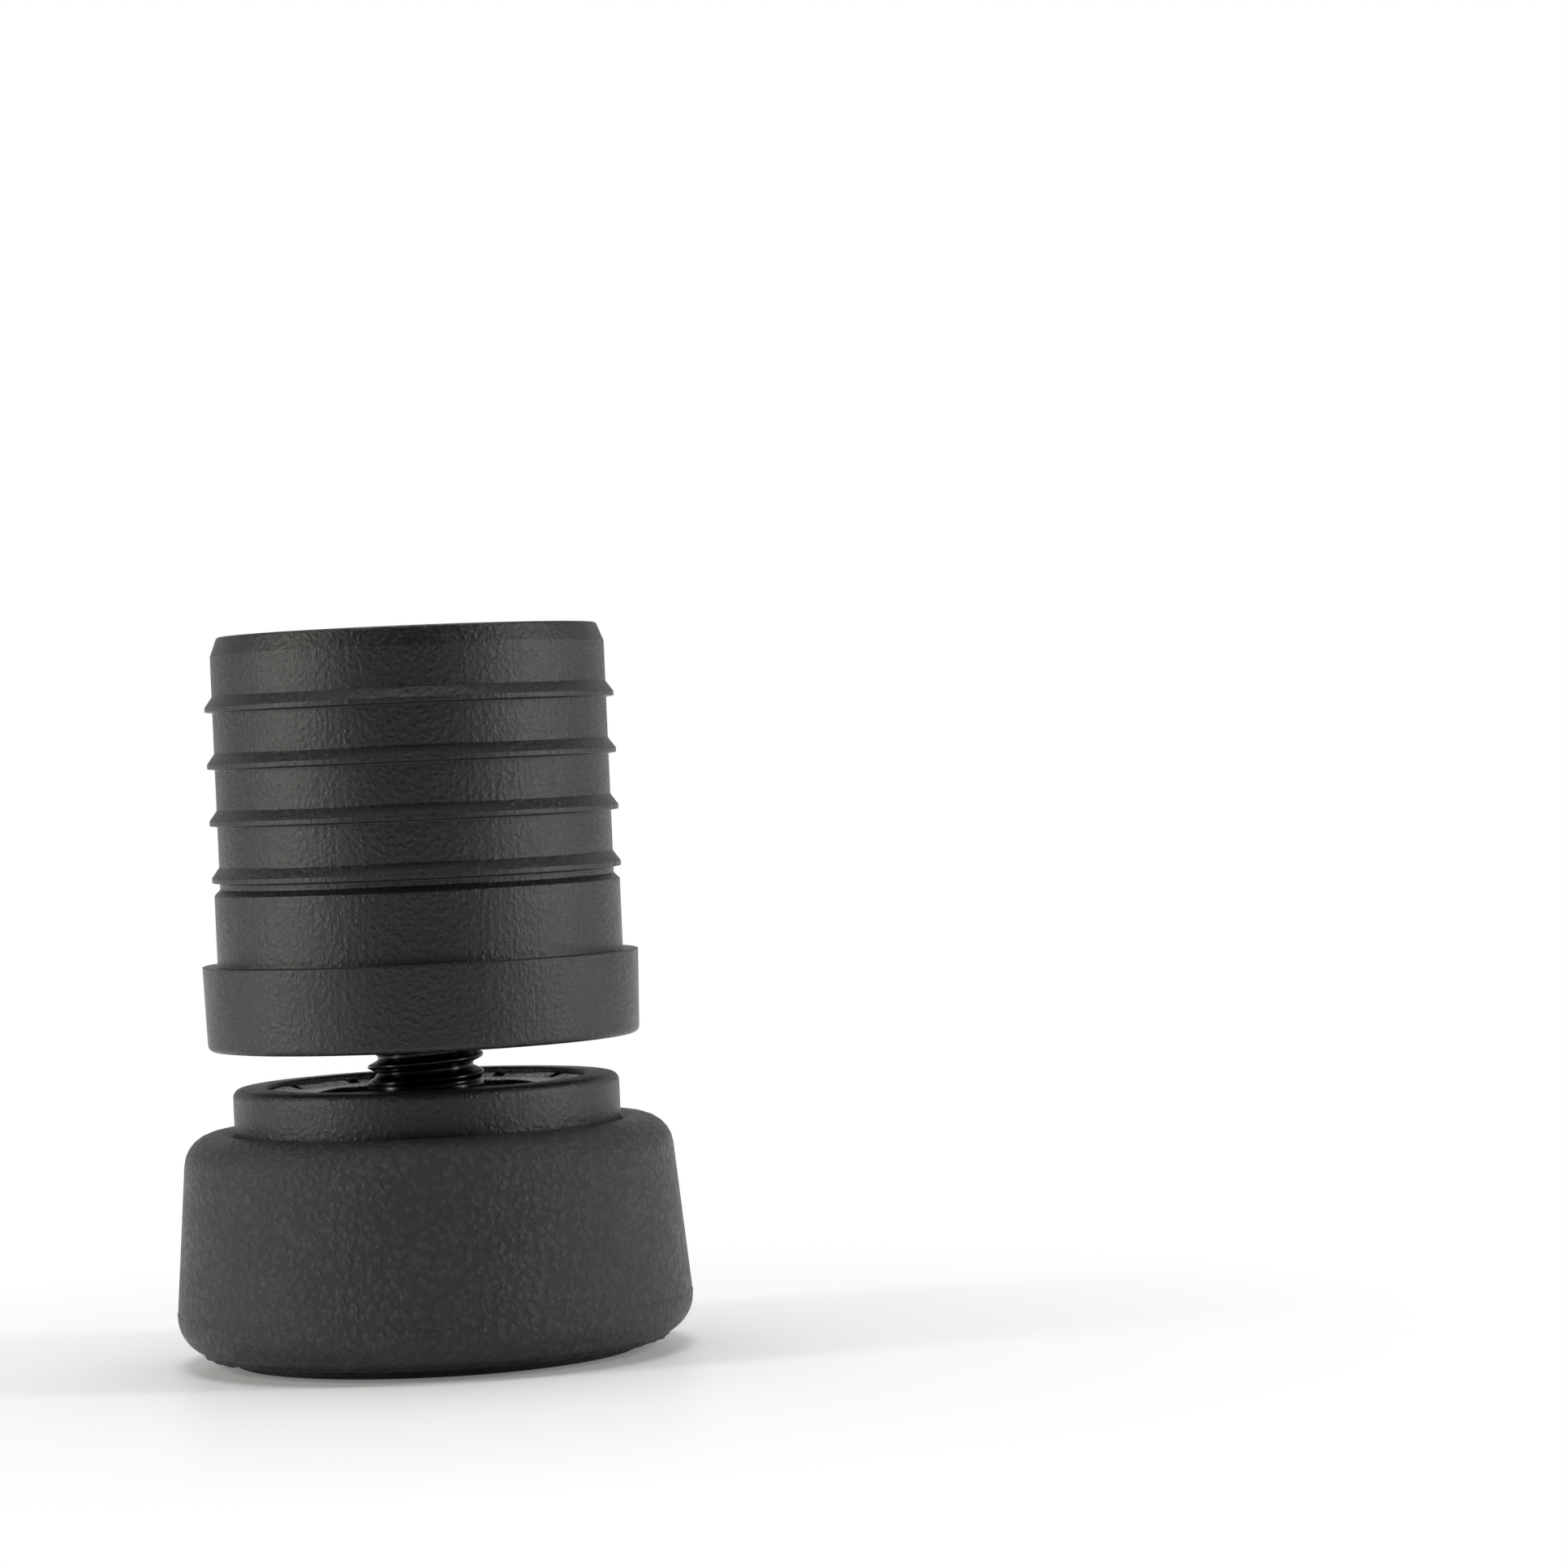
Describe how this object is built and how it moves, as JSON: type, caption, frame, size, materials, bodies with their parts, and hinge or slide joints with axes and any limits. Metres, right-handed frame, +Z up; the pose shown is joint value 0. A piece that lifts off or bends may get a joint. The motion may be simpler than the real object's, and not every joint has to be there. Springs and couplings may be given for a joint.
{
  "type": "furniture leveling foot",
  "caption": "Screw-adjusted swivel foot in a rubber boot, on a threaded stud whose plug closes the lower end of a round furniture leg tube.",
  "frame": {"origin": "centre of the sole's underside, where the foot stands on the floor", "axes": "+Z up along the stud's axis, from the sole to the plug; +X and +Y are free, as the foot is round"},
  "size_m": [0.044, 0.044, 0.062],
  "materials": {
    "sole_rubber": "matt",
    "boot_rubber": "fine moulded grain, satin",
    "core_plastic": "fine moulded texture",
    "keeper_plastic": "smooth",
    "spring_steel": "oiled black spring steel, worn bright",
    "cup_plastic": "natural acetal",
    "ball_steel": "polished",
    "washer_bronze": "plain bronze",
    "stud_black": "glossy black, oiled",
    "clip_steel": "phosphated",
    "plug_plastic": "fine moulded texture",
    "insert_steel": "zinc plated",
    "lock_nylon": "blue nylon"
  },
  "bodies": {
    "foot": {"sole_pad": "sole_rubber", "boot": "boot_rubber", "core": "core_plastic", "keeper": "keeper_plastic", "lock_ring": "spring_steel", "wave_washer": "spring_steel"},
    "seat": {"swivel_cup": "cup_plastic"},
    "knuckle": {"ball_knuckle": "ball_steel", "thrust_washer": "washer_bronze"},
    "stud": {"stud": "stud_black", "journal_clip": "clip_steel"},
    "plug": {"tube_plug": "plug_plastic", "threaded_insert": "insert_steel", "thread_lock_ring": "lock_nylon"}
  },
  "joints": [
    {"name": "foot_swivel", "type": "hinge", "parent": "foot", "child": "seat", "pos_m": [0, 0, 0.013], "axis": [0, 0, 1], "continuous": true},
    {"name": "foot_tilt", "type": "hinge", "parent": "seat", "child": "knuckle", "pos_m": [0, 0, 0.013], "axis": [1, 0, 0], "range_deg": [-11, 11]},
    {"name": "stud_turn", "type": "hinge", "parent": "knuckle", "child": "stud", "pos_m": [0, 0, 0.013], "axis": [0, 0, 1], "range_deg": [-3600, 0]},
    {"name": "height", "type": "slide", "parent": "knuckle", "child": "plug", "axis": [0, 0, 1], "range_m": [0, 0.015]}
  ],
  "couplings": [
    {"joint": "stud_turn", "follows": "height", "rad_per_m": -4188.8}
  ]
}
